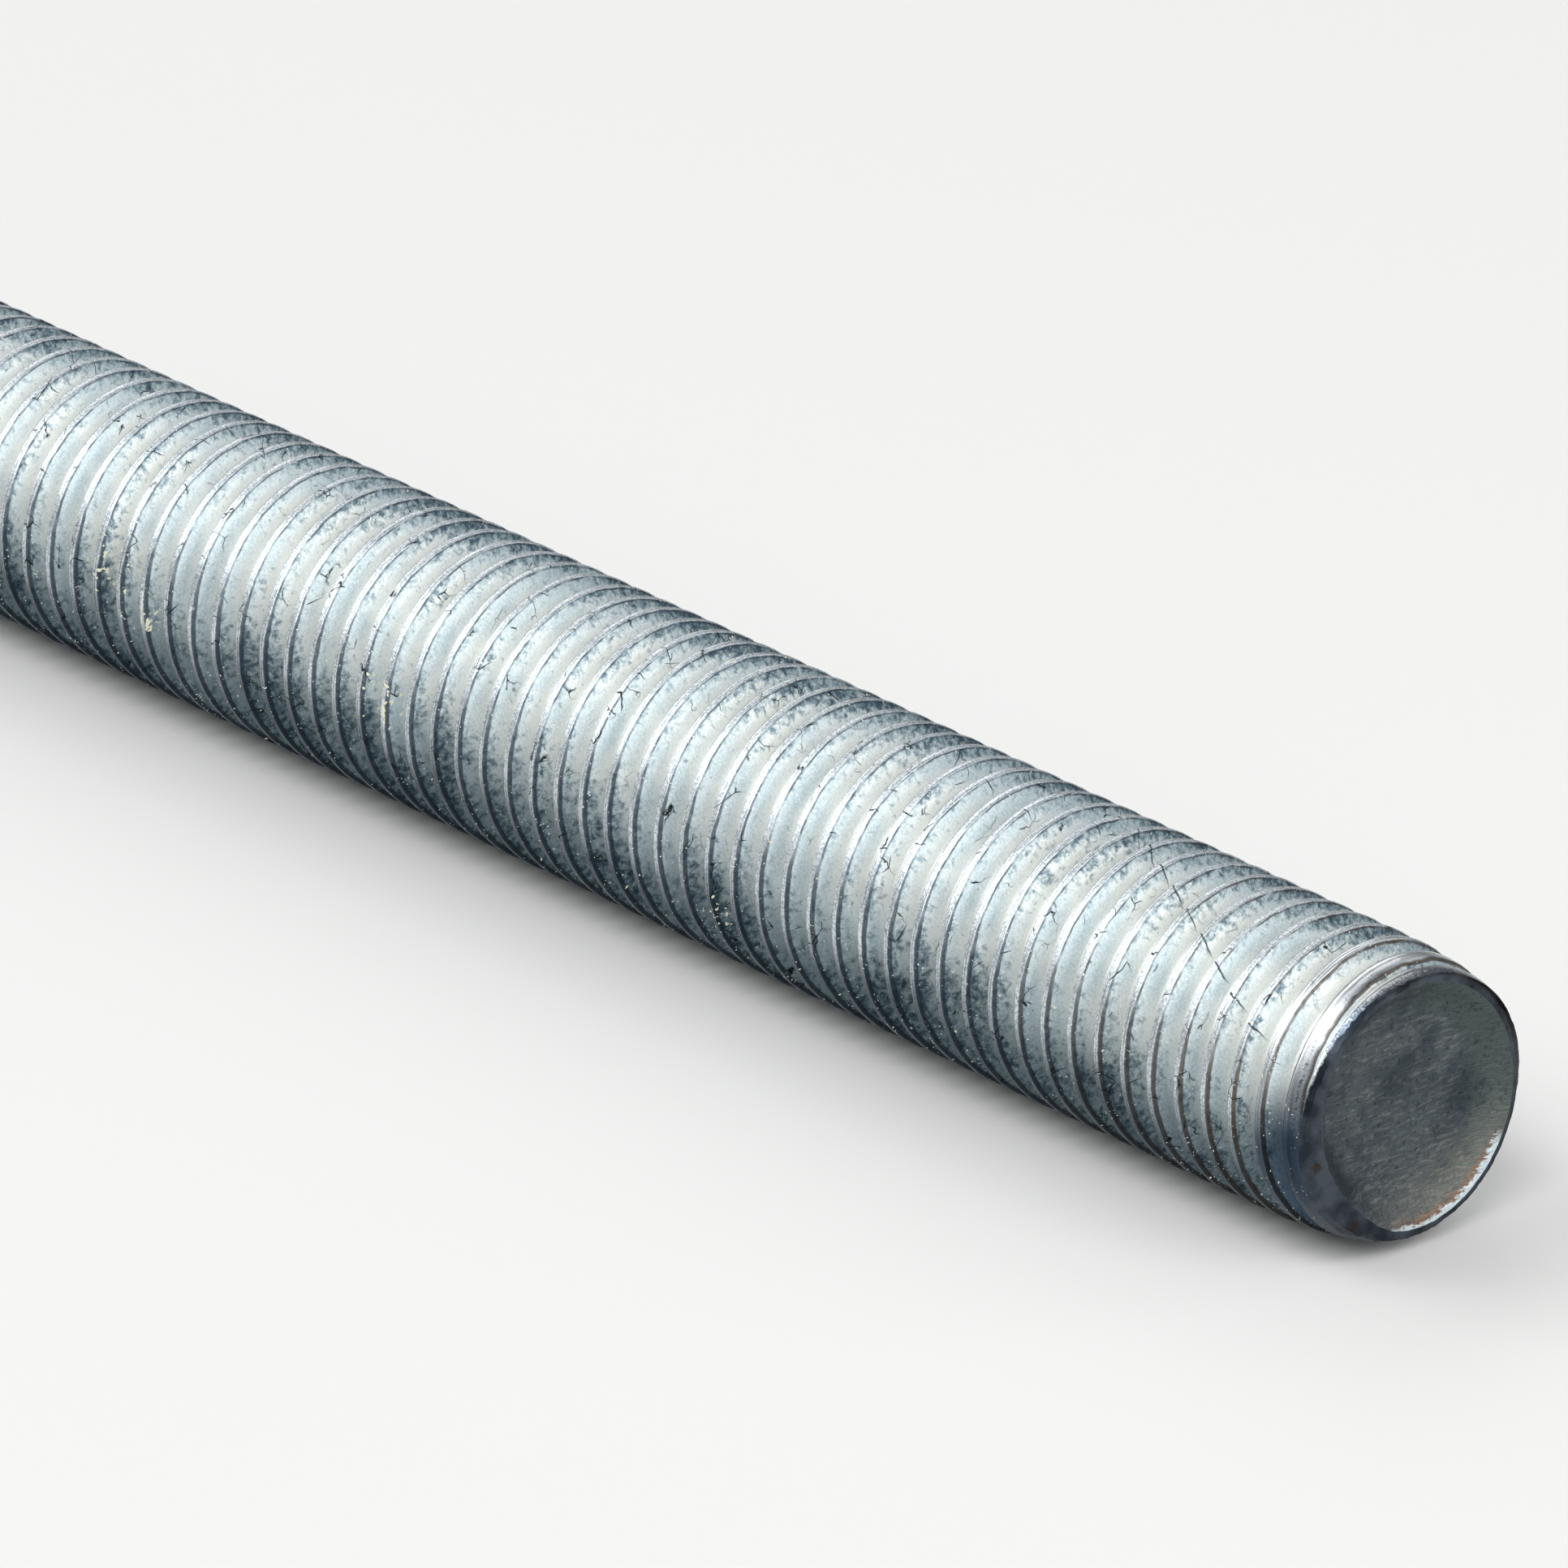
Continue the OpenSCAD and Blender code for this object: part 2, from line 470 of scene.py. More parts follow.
# Zinc plating on rolled steel: a satin metal with a cold blue cast. Below each crest the rolled flank is
# grained and mottled dark blue, toward the root it is smooth and pale. High on the -Y side, where the
# highlight falls, a painted highlight fades the mottles and adds a cream tint. The crests carry a bright
# beaded band with a dark line along its edges, which browns toward the ends and widens low on the -Y side.
# The underside toward the floor is darkened by painted shade, which reaches further round at the noses; the
# noses are smoother, with bluer dark plating.
zincLook = {
    "flank": "#BFCED3",
    "root": "#F2F6F4",
    # painted highlight: a cream tint on the side where the highlight falls
    "highlightCream": "#F1F2EC",
    "haze": "#B6C4CA",
    "mottle": "#7A9099",
    "mottleDark": "#34495A",
    "crest": "#F2F7FA",
    "crestDull": "#B9C5CD",
    "edge": "#3A444E",
    "edgeBrown": "#54463A",
    "crack": "#25292C",
    "speck": "#F4F8FA",
    "crumb": "#E3E1C6",
    # painted shade: this tone and the next darken the underside toward the floor, the next at the noses,
    # where the plating is bluer and darker too
    "patina": "#A0A9AE",
    "noseShadeAndPlating": "#56687C",
    "noseBlue": "#4C6F8E",
    # painted shade: the tone of the crests on the underside
    "crestShadeTone": "#7F8A92",
    "flankRoughness": 0.52,
    "mottleRoughness": 0.42,
    "crestRoughness": 0.42,
    "noseRoughness": 0.34,
    "crumbRoughness": 0.80,
    "wobbleSize": 1.1,  # mm
    "wobble": 0.015,  # mm
    "bandSpan": (0.135, 0.175),  # mm from the middle of a crest between which its bright band fades
    "edgePlace": 0.190,  # mm from the middle of a crest
    "edgeSpan": (0.012, 0.042),  # mm from there between which the dark line fades
    "edgeWiden": 0.05,  # mm, low on the -Y side and at the noses
    "edgeBreakSize": 1.25,  # mm
    "edgeShare": (0.2, 0.85),  # least and most that an edge line covers
    "hairlineSpan": (0.012, 0.035),  # mm from the middle of a crest between which its line fades
    "hairlineShare": 0.6,
    "mottleSize": 0.38,  # mm
    "mottleShare": 0.85,
    # added to the mottles' noise beside the crest, at the root, in clouds, on the lit side where painted
    # highlight fades them, at a nose
    "mottleByPlace": (0.035, -0.22, 0.17, -0.13, -0.07),
    "flankSpan": (0.2, 0.85),  # mm from a crest between which the flank turns from rolled to smooth
    "rootWander": 0.22,  # mm
    "grainSize": 0.13,  # mm, coarser than real zinc crystals so that it shows
    "grainTone": (0.84, 1.08),  # darkest and lightest grain
    "streakSize": 0.09,  # mm between the rolling marks that run with the thread
    "streakLength": 25 / 3,  # mm
    "cloudSize": 4.5,  # mm
    "hazeShare": 0.35,
    "highlightCreamShare": (0.12, 0.7),  # of the painted cream highlight, beside the crests and at the root, on the lit side
    "crumbSize": 0.30,  # mm
    "crumbRise": 0.22,  # what the middle of a cluster adds to the crumbs' noise
    "speckSize": 1 / 7,  # mm
    "speckClump": 0.35,
    "crackSize": 1.4,  # mm
    "crackPatchSize": 5 / 3,  # mm
    "belowSpan": (0.45, 0.75),  # mm from a crest between which cracks and specks fade
    "tearSpan": (1.9, 0.1),  # mm from an end between which the blue specks of the nose thicken
    "tearRise": (-0.12, 0.16),  # what that adds to their noise
    "tearShare": 0.8,
    "seamTwist": 3.75,  # degrees that the steel's own seam turns in each mm of length
    "seamStart": 255.4,  # degrees
    "seamLength": 25.0,  # mm from the near end
    "seamWander": 4.0,  # degrees
    "seamSpan": (0.15, 0.5),  # degrees from its middle
    "seamShare": 0.9,
    "crestShading": 0.85,  # share of the painted shade tone on the crests of the underside
    "reliefDepth": 0.03,  # mm
    # sides of the rod in degrees round it, and the cosines between which each one sets in
    "patinaAngle": 326.0,  # underside toward the floor, where shade is painted darkest
    "underShadeSpan": (0.42, 0.98),
    "underShadeNose": 0.32,  # what a nose adds to that cosine
    "underShadeCloud": 0.12,  # what a cloud adds to it
    "highlightSideAngle": 219.0,  # lit side, where a highlight is painted: faintest mottles and a cream tint
    "highlightSideSpan": (0.62, 0.95),
    "wideEdgeAngle": 300.0,  # widest dark lines beside the crests
    "wideEdgeSpan": (0.38, 0.80),
    # mm from an end between which the nose's own finish and the brown lines set in
    "noseSpan": (5.5, 2.5),
    "brownSpan": (26.0, 6.0),
    # values of the noises between which each mark sets in
    "cloudSpan": (0.36, 0.64),
    "mottleSpan": (0.44, 0.60),
    "blotchSpan": (0.58, 0.72),
    "beadSpan": (0.42, 0.56),
    "crackSpan": (0.008, 0.026),
    "crackedSpan": (0.59, 0.64),
    "crumbSpan": (0.765, 0.785),
    "speckSpan": (0.915, 0.940),
    # middles of the clusters of dried plating salts: mm along the rod, degrees round it, reach in mm
    "crumbSpots": ((-20.0, 258.0, 3.0), (-16.5, 272.0, 2.2), (3.0, 262.0, 2.6), (30.0, 285.0, 2.0)),
}


def zincPlate():
    look = zincLook
    material, tree, shader, mm = startMetal("zinc plated rolled steel")
    run = addNode(tree, "UVMap", uv_map="threadRun")
    runAcross = addNode(tree, "SeparateXYZ", {0: run}, output="Y")
    parts = addNode(tree, "SeparateXYZ", {0: mm}).node.outputs
    wobble = addNode(tree, "TexNoise", {"Vector": mm, "Scale": 1 / look["wobbleSize"], "Detail": 3.0})
    shift = addNode(tree, "MapRange", {
        "Value": wobble, **span(0.3, 0.7), "To Min": -look["wobble"], "To Max": look["wobble"]})
    across = addNode(tree, "Math", {0: runAcross, 1: shift}, operation="ADD")
    fromCrest = addNode(tree, "Math", {0: across, 1: threadForm["pitch"] / 2}, operation="PINGPONG")
    fromMiddle = addNode(tree, "Math", {0: parts["X"]}, operation="ABSOLUTE")
    fromEnd = addNode(tree, "Math", {0: rodLength / 2, 1: fromMiddle}, operation="SUBTRACT")
    atNose = addNode(tree, "MapRange", {"Value": fromEnd, **span(*look["noseSpan"])})

    # patterns that the masks below share
    cloud = addNode(tree, "TexNoise", {"Vector": mm, "Scale": 1 / look["cloudSize"], "Detail": 3.0})
    cloudy = addNode(tree, "MapRange", {"Value": cloud, **span(*look["cloudSpan"])})
    grain = addNode(tree, "TexNoise", {
        "Vector": mm, "Scale": 1 / look["grainSize"], "Detail": 2.0, "Roughness": 0.6})
    fine = addNode(tree, "VectorMath", {
        0: run, 1: (1 / look["streakLength"], 1 / look["streakSize"], 1.0)}, operation="MULTIPLY")
    streak = addNode(tree, "TexNoise", {"Vector": fine, "Scale": 1.0, "Detail": 2.0})

    # the angle round the rod, for the seam, the painted shade on the underside, the painted highlight on the
    # lit side and the wider dark lines
    drop = addNode(tree, "Math", {0: crestRadius, 1: parts["Z"]}, operation="SUBTRACT")
    turn = addNode(tree, "Math", {0: parts["Y"], 1: drop}, operation="ARCTAN2")
    degrees = addNode(tree, "Math", {0: turn}, operation="DEGREES")
    # painted shade: the underside darkened, unevenly in clouds and reaching further round at the noses
    towardDark = cosineToward(tree, turn, look["patinaAngle"])
    darkNose = addNode(tree, "Math", {
        0: atNose, 1: look["underShadeNose"], 2: towardDark}, operation="MULTIPLY_ADD")
    darkUneven = addNode(tree, "Math", {
        0: cloudy, 1: look["underShadeCloud"], 2: darkNose}, operation="MULTIPLY_ADD")
    patina = addNode(tree, "MapRange", {
        "Value": darkUneven, **span(*look["underShadeSpan"])}, interpolation_type="SMOOTHSTEP")

    # painted highlight: on the lit side the mottles fade and a cream tint is painted in
    towardHighlightSide = cosineToward(tree, turn, look["highlightSideAngle"])
    highlightSide = addNode(tree, "MapRange", {
        "Value": towardHighlightSide, **span(*look["highlightSideSpan"])}, interpolation_type="SMOOTHSTEP")
    # the dark lines beside the crests widen low on the -Y side and at the noses
    towardWideEdge = cosineToward(tree, turn, look["wideEdgeAngle"])
    wideEdgeSide = addNode(tree, "MapRange", {
        "Value": towardWideEdge, **span(*look["wideEdgeSpan"])}, interpolation_type="SMOOTHSTEP")

    # crest: the bright band, its dark edges and the hairline along its middle
    band = addNode(tree, "MapRange", {
        "Value": fromCrest, **span(*look["bandSpan"]), "To Min": 1.0, "To Max": 0.0})
    offEdge = addNode(tree, "Math", {0: fromCrest, 1: look["edgePlace"]}, operation="SUBTRACT")
    evenEdge = addNode(tree, "Math", {0: offEdge}, operation="ABSOLUTE")
    widened = addNode(tree, "Math", {0: wideEdgeSide, 1: atNose}, operation="MAXIMUM")
    nearEdge = addNode(tree, "Math", {
        0: widened, 1: -look["edgeWiden"], 2: evenEdge}, operation="MULTIPLY_ADD")
    edgeLine = addNode(tree, "MapRange", {
        "Value": nearEdge, **span(*look["edgeSpan"]), "To Min": 1.0, "To Max": 0.0})
    edgeBreaks = addNode(tree, "TexNoise", {
        "Vector": mm, "Scale": 1 / look["edgeBreakSize"], "Detail": 3.0})
    edgeOpen = addNode(tree, "MapRange", {
        "Value": edgeBreaks, **span(0.36, 0.58), "To Min": look["edgeShare"][0],
        "To Max": look["edgeShare"][1]})
    edgeHere = addNode(tree, "MapRange", {
        "Value": widened, "To Min": edgeOpen, "To Max": look["edgeShare"][1]})
    edge = addNode(tree, "Math", {0: edgeLine, 1: edgeHere}, operation="MULTIPLY")
    hairline = addNode(tree, "MapRange", {
        "Value": fromCrest, **span(*look["hairlineSpan"]), "To Min": look["hairlineShare"],
        "To Max": 0.0})
    hairlineHere = addNode(tree, "Math", {0: hairline, 1: cloudy}, operation="MULTIPLY")
    darkLines = addNode(tree, "Math", {0: edge, 1: hairlineHere}, operation="MAXIMUM")

    # flank: mottles thickest below the crest, thinning out toward the root
    rootWander = addNode(tree, "MapRange", {
        "Value": cloud, **span(0.35, 0.65), "To Min": -look["rootWander"], "To Max": look["rootWander"]})
    rootUneven = addNode(tree, "Math", {0: fromCrest, 1: rootWander}, operation="ADD")
    root = addNode(tree, "MapRange", {
        "Value": rootUneven, **span(*look["flankSpan"])}, interpolation_type="SMOOTHSTEP")
    mottleField = addNode(tree, "TexNoise", {
        "Vector": mm, "Scale": 1 / look["mottleSize"], "Detail": 6.0, "Roughness": 0.68,
        "Distortion": 0.3})
    atCrest, atRoot, inCloud, onHighlightSide, onNose = look["mottleByPlace"]
    thinning = addNode(tree, "MapRange", {
        "Value": fromCrest, **span(*look["flankSpan"]), "To Min": atCrest, "To Max": atRoot})
    mottleCloud = addNode(tree, "Math", {0: cloudy, 1: inCloud, 2: thinning}, operation="MULTIPLY_ADD")
    mottleHere = addNode(tree, "Math", {0: highlightSide, 1: onHighlightSide, 2: mottleCloud}, operation="MULTIPLY_ADD")
    mottleBody = addNode(tree, "Math", {0: mottleField, 1: mottleHere}, operation="ADD")
    mottleSum = addNode(tree, "Math", {0: atNose, 1: onNose, 2: mottleBody}, operation="MULTIPLY_ADD")
    mottle = addNode(tree, "MapRange", {
        "Value": mottleSum, **span(*look["mottleSpan"]), "To Max": look["mottleShare"]})
    blotch = addNode(tree, "MapRange", {
        "Value": mottleSum, **span(*look["blotchSpan"]), "To Max": look["mottleShare"]})

    # short branching cracks below the crests, and the bar's own seam, which crosses turn after turn
    bent = addNode(tree, "VectorMath", {0: mm, 1: wobble}, operation="ADD")
    cells = addNode(tree, "TexVoronoi", {
        "Vector": bent, "Scale": 1 / look["crackSize"]}, feature="DISTANCE_TO_EDGE")
    crackLine = addNode(tree, "MapRange", {
        "Value": cells, **span(*look["crackSpan"]), "To Min": 1.0, "To Max": 0.0})
    crackSpots = addNode(tree, "TexNoise", {
        "Vector": mm, "Scale": 1 / look["crackPatchSize"], "Detail": 1.0})
    crackHere = addNode(tree, "MapRange", {"Value": crackSpots, **span(*look["crackedSpan"])})
    cracks = addNode(tree, "Math", {0: crackLine, 1: crackHere}, operation="MULTIPLY")
    fromStart = addNode(tree, "Math", {
        0: parts["X"], 1: -look["seamTwist"],
        2: rodLength / 2 * look["seamTwist"] - look["seamStart"]}, operation="MULTIPLY_ADD")
    seamAngle = addNode(tree, "Math", {0: degrees, 1: fromStart}, operation="ADD")
    seamOff = addNode(tree, "Math", {0: seamAngle, 1: 180.0, 2: -180.0}, operation="WRAP")
    seamWander = addNode(tree, "Math", {
        0: wobble, 1: look["seamWander"], 2: seamOff}, operation="MULTIPLY_ADD")
    seamNear = addNode(tree, "Math", {0: seamWander, 1: look["seamWander"] / 2}, operation="SUBTRACT")
    seamSide = addNode(tree, "Math", {0: seamNear}, operation="ABSOLUTE")
    seamEnds = addNode(tree, "MapRange", {
        "Value": parts["X"],
        **span(rodLength / 2 - look["seamLength"], rodLength / 2 - look["seamLength"] + 4),
        "To Max": look["seamShare"]})
    seamLine = addNode(tree, "MapRange", {
        "Value": seamSide, **span(*look["seamSpan"]), "To Min": seamEnds, "To Max": 0.0})
    below = addNode(tree, "MapRange", {
        "Value": fromCrest, **span(*look["belowSpan"]), "To Min": 1.0, "To Max": 0.0})
    lines = addNode(tree, "Math", {0: cracks, 1: seamLine}, operation="MAXIMUM")
    linesBelow = addNode(tree, "Math", {0: lines, 1: below}, operation="MULTIPLY")
    linesHere = addNode(tree, "MapRange", {"Value": atNose, "To Min": linesBelow, "To Max": 0.0})

    # clusters of dried plating salts, and small bright specks beside the crests
    near = None
    for x, angle, reach in look["crumbSpots"]:
        a = math.radians(angle)
        spot = (x, crestRadius * math.sin(a), crestRadius - crestRadius * math.cos(a))
        away = addNode(tree, "VectorMath", {0: mm, 1: spot}, operation="DISTANCE", output="Value")
        spotNear = addNode(tree, "MapRange", {
            "Value": away, **span(0.0, reach), "To Min": look["crumbRise"], "To Max": 0.0})
        if near is None:
            near = spotNear
        else:
            near = addNode(tree, "Math", {0: near, 1: spotNear}, operation="MAXIMUM")
    crumbField = addNode(tree, "TexNoise", {"Vector": mm, "Scale": 1 / look["crumbSize"], "Detail": 1.0})
    crumbAmount = addNode(tree, "Math", {0: crumbField, 1: near}, operation="ADD")
    crumb = addNode(tree, "MapRange", {"Value": crumbAmount, **span(*look["crumbSpan"])})
    speckField = addNode(tree, "TexNoise", {"Vector": mm, "Scale": 1 / look["speckSize"], "Detail": 1.0})
    speckGroups = addNode(tree, "Math", {
        0: edgeBreaks, 1: look["speckClump"], 2: speckField}, operation="MULTIPLY_ADD")
    speck = addNode(tree, "MapRange", {"Value": speckGroups, **span(*look["speckSpan"])})
    speckHere = addNode(tree, "Math", {0: speck, 1: below}, operation="MULTIPLY")

    # colour
    smooth = addNode(tree, "MixRGB", {
        "Fac": root, "Color1": hexColour(look["flank"]), "Color2": hexColour(look["root"])})
    hazeShare = addNode(tree, "Math", {0: cloudy, 1: look["hazeShare"]}, operation="MULTIPLY")
    hazy = addNode(tree, "MixRGB", {"Fac": hazeShare, "Color1": smooth, "Color2": hexColour(look["haze"])})
    # painted highlight: the cream tint on the lit side, most toward the root
    highlightCreamRoot = addNode(tree, "MapRange", {
        "Value": root, "To Min": look["highlightCreamShare"][0], "To Max": look["highlightCreamShare"][1]})
    highlightCreamShare = addNode(tree, "Math", {0: highlightSide, 1: highlightCreamRoot}, operation="MULTIPLY")
    body = addNode(tree, "MixRGB", {"Fac": highlightCreamShare, "Color1": hazy, "Color2": hexColour(look["highlightCream"])})
    mottled = addNode(tree, "MixRGB", {"Fac": mottle, "Color1": body, "Color2": hexColour(look["mottle"])})
    blotched = addNode(tree, "MixRGB", {
        "Fac": blotch, "Color1": mottled, "Color2": hexColour(look["mottleDark"])})
    grainTone = addNode(tree, "MapRange", {
        "Value": grain, **span(0.35, 0.65), "To Min": look["grainTone"][0],
        "To Max": look["grainTone"][1]})
    grainShare = addNode(tree, "MapRange", {"Value": root, "To Min": 1.0, "To Max": 0.35})
    grained = addNode(tree, "MixRGB", {
        "Fac": grainShare, "Color1": blotched, "Color2": grainTone}, blend_type="MULTIPLY")
    beads = addNode(tree, "MapRange", {"Value": grain, **span(*look["beadSpan"])})
    beadsHere = addNode(tree, "MapRange", {"Value": atNose, "To Min": beads, "To Max": 0.85})
    crestTone = addNode(tree, "MixRGB", {
        "Fac": beadsHere, "Color1": hexColour(look["crestDull"]), "Color2": hexColour(look["crest"])})
    towardTear = addNode(tree, "MapRange", {
        "Value": fromEnd, **span(*look["tearSpan"]), "To Min": look["tearRise"][0],
        "To Max": look["tearRise"][1]})
    tearField = addNode(tree, "Math", {0: streak, 1: grain, 2: towardTear}, operation="MULTIPLY_ADD")
    tearSpecks = addNode(tree, "MapRange", {
        "Value": tearField, **span(0.26, 0.36), "To Max": look["tearShare"]})
    tearHere = addNode(tree, "Math", {0: tearSpecks, 1: atNose}, operation="MULTIPLY")
    crestBlue = addNode(tree, "MixRGB", {
        "Fac": tearHere, "Color1": crestTone, "Color2": hexColour(look["noseBlue"])})
    # painted shade: a darker grey tone on the crests of the underside
    crestShadeAmount = addNode(tree, "Math", {0: patina, 1: look["crestShading"]}, operation="MULTIPLY")
    crestShaded = addNode(tree, "MixRGB", {
        "Fac": crestShadeAmount, "Color1": crestBlue, "Color2": hexColour(look["crestShadeTone"])})
    crested = addNode(tree, "MixRGB", {"Fac": band, "Color1": grained, "Color2": crestShaded})
    browning = addNode(tree, "MapRange", {"Value": fromEnd, **span(*look["brownSpan"])})
    edgeTone = addNode(tree, "MixRGB", {
        "Fac": browning, "Color1": hexColour(look["edge"]), "Color2": hexColour(look["edgeBrown"])})
    edged = addNode(tree, "MixRGB", {"Fac": darkLines, "Color1": crested, "Color2": edgeTone})
    cracked = addNode(tree, "MixRGB", {
        "Fac": linesHere, "Color1": edged, "Color2": hexColour(look["crack"])})
    # painted shade multiplied over the underside, darker and bluer at the noses, where the plating is bluer
    # and darker too
    underShadeTone = addNode(tree, "MixRGB", {
        "Fac": atNose, "Color1": hexColour(look["patina"]), "Color2": hexColour(look["noseShadeAndPlating"])})
    shadedUnder = addNode(tree, "MixRGB", {
        "Fac": patina, "Color1": cracked, "Color2": underShadeTone}, blend_type="MULTIPLY")
    specked = addNode(tree, "MixRGB", {
        "Fac": speckHere, "Color1": shadedUnder, "Color2": hexColour(look["speck"])})
    crumbed = addNode(tree, "MixRGB", {"Fac": crumb, "Color1": specked, "Color2": hexColour(look["crumb"])})
    tree.links.new(crumbed, shader.inputs["Base Color"])

    # roughness, and the crumbs are no metal
    satin = addNode(tree, "MapRange", {
        "Value": mottle, "To Min": look["flankRoughness"], "To Max": look["mottleRoughness"]})
    crestSatin = addNode(tree, "MapRange", {
        "Value": atNose, "To Min": look["crestRoughness"], "To Max": look["noseRoughness"]})
    satinHere = addNode(tree, "MapRange", {"Value": band, "To Min": satin, "To Max": crestSatin})
    roughHere = addNode(tree, "MapRange", {
        "Value": crumb, "To Min": satinHere, "To Max": look["crumbRoughness"]})
    tree.links.new(roughHere, shader.inputs["Roughness"])
    metalHere = addNode(tree, "Math", {0: 1.0, 1: crumb}, operation="SUBTRACT")
    tree.links.new(metalHere, shader.inputs["Metallic"])

    # relief: grains, rolling marks and crumbs that stand up, blotches, lines and cracks that go in
    relief = addNode(tree, "Math", {0: streak, 1: 0.6, 2: grain}, operation="MULTIPLY_ADD")
    pitted = addNode(tree, "Math", {0: blotch, 1: -0.4, 2: relief}, operation="MULTIPLY_ADD")
    raised = addNode(tree, "Math", {0: crumb, 1: 2.0, 2: pitted}, operation="MULTIPLY_ADD")
    grooved = addNode(tree, "Math", {0: darkLines, 1: -0.8, 2: raised}, operation="MULTIPLY_ADD")
    cut = addNode(tree, "Math", {0: linesHere, 1: -2.0, 2: grooved}, operation="MULTIPLY_ADD")
    bump = addNode(tree, "Bump", {
        "Height": cut, "Distance": look["reliefDepth"] * millimetre, "Strength": 0.4})
    tree.links.new(bump, shader.inputs["Normal"])
    return material


# Cropped lip: plating and steel that the blade pressed smooth, a dark slate grey with two small brown rust
# spots, and on the +Y side a thin reddish-brown outline
lipLook = {
    "slate": "#4E565F",
    "dark": "#2B323A",
    "rust": "#392E27",
    "outline": "#443833",
    "roughness": 0.42,
    "scuffSize": 0.25,  # mm
    "toneSize": 5 / 3,  # mm
    "reliefDepth": 0.04,  # mm
    "outlineHalf": 0.1,  # mm
    "outlineSide": (-2.0, 2.0),  # mm along Y between which the outline sets in
    "spotSpan": (-0.24, 0.06),  # mm from a spot's middle, less the scuffs, between which it fades
    # places of the rust spots: degrees round the rod and mm from its axis, the same at both ends
    "spots": ((282.0, 6.75), (322.0, 6.75)),
}


def croppedLip():
    look = lipLook
    material, tree, shader, mm = startMetal("cropped plated lip")
    parts = addNode(tree, "SeparateXYZ", {0: mm}).node.outputs
    flat = addNode(tree, "CombineXYZ", {"Y": parts["Y"], "Z": parts["Z"]})
    scuff = addNode(tree, "TexNoise", {
        "Vector": mm, "Scale": 1 / look["scuffSize"], "Detail": 4.0, "Roughness": 0.6})
    stain = addNode(tree, "TexNoise", {"Vector": mm, "Scale": 1 / look["toneSize"], "Detail": 4.0})
    tone = addNode(tree, "MapRange", {"Value": stain, **span(0.4, 0.62)})
    colour = addNode(tree, "MixRGB", {
        "Fac": tone, "Color1": hexColour(look["slate"]), "Color2": hexColour(look["dark"])})
    for angle, radius in look["spots"]:
        a = math.radians(angle)
        spot = (0.0, radius * math.sin(a), crestRadius - radius * math.cos(a))
        away = addNode(tree, "VectorMath", {0: flat, 1: spot}, operation="DISTANCE", output="Value")
        ragged = addNode(tree, "Math", {0: scuff, 1: -0.8, 2: away}, operation="MULTIPLY_ADD")
        rust = addNode(tree, "MapRange", {
            "Value": ragged, **span(*look["spotSpan"]), "To Min": 0.85, "To Max": 0.0})
        colour = addNode(tree, "MixRGB", {"Fac": rust, "Color1": colour, "Color2": hexColour(look["rust"])})
    radius = addNode(tree, "VectorMath", {
        0: flat, 1: (0.0, 0.0, crestRadius)}, operation="DISTANCE", output="Value")
    fromOutline = addNode(tree, "Math", {
        0: radius, 1: croppedEnd["lipOuter"], 2: look["outlineHalf"]}, operation="COMPARE")
    awaySide = addNode(tree, "MapRange", {"Value": parts["Y"], **span(*look["outlineSide"])})
    outlineHere = addNode(tree, "Math", {0: fromOutline, 1: awaySide}, operation="MULTIPLY")
    outline = addNode(tree, "Math", {0: outlineHere, 1: scuff}, operation="MULTIPLY")
    colour = addNode(tree, "MixRGB", {
        "Fac": outline, "Color1": colour, "Color2": hexColour(look["outline"])})
    tree.links.new(colour, shader.inputs["Base Color"])
    rough = addNode(tree, "MapRange", {
        "Value": scuff, **span(0.3, 0.7), "To Min": look["roughness"] - 0.08,
        "To Max": look["roughness"] + 0.12})
    tree.links.new(rough, shader.inputs["Roughness"])
    bump = addNode(tree, "Bump", {
        "Height": scuff, "Distance": look["reliefDepth"] * millimetre, "Strength": 0.6})
    tree.links.new(bump, shader.inputs["Normal"])
    return material


# Sheared steel in the dish: dull slate, torn into fine short strokes by the blade, with darker oily stains.
# On the +Y side it turns a greenish grey with dark nicks toward the rim. Low down a painted sheen lightens
# the floor and a painted highlight runs along the rim, with a warm fringe painted inside it.
shearLook = {
    "steel": "#575F63",
    "stain": "#29333E",
    "strokePale": "#858B8A",
    "wall": "#525D5B",
    "nick": "#1F2833",
    # painted highlight on the rim low down, the warm fringe painted inside it, and a painted sheen on the
    # floor toward it
    "bright": "#D3E0E6",
    "fringe": "#A0714C",
    "paintedSheen": "#97938A",
    "roughness": 0.50,
    "strokeLength": 1.0,  # mm
    "strokeWidth": 0.20,  # mm
    "stainSize": 3.0,  # mm
    "pitSize": 0.24,  # mm
    "nickSize": 1 / 1.3,  # mm
    "reliefDepth": 0.1,  # mm
    "wallSpan": (5.1, 5.9),  # mm from the axis between which the wall's own tone sets in
    "wallSide": (-2.0, 3.5),  # mm along Y between which it does
    "rimSpan": (6.74, 6.88),  # mm from the axis between which the painted rim highlight sets in
    "fringeSpan": (6.40, 6.74),
    "brightAngle": 24.0,  # degrees round the rod of the middle of the painted rim highlight and sheen
    "rimHighlightSpan": (0.77, 0.84),  # cosines from there between which the painted highlight sets in along the rim
    "warmSpan": (0.76, 0.92),
    "paintedSheenSpan": (2.5, 6.4),  # mm toward there between which the painted sheen on the floor grows
}


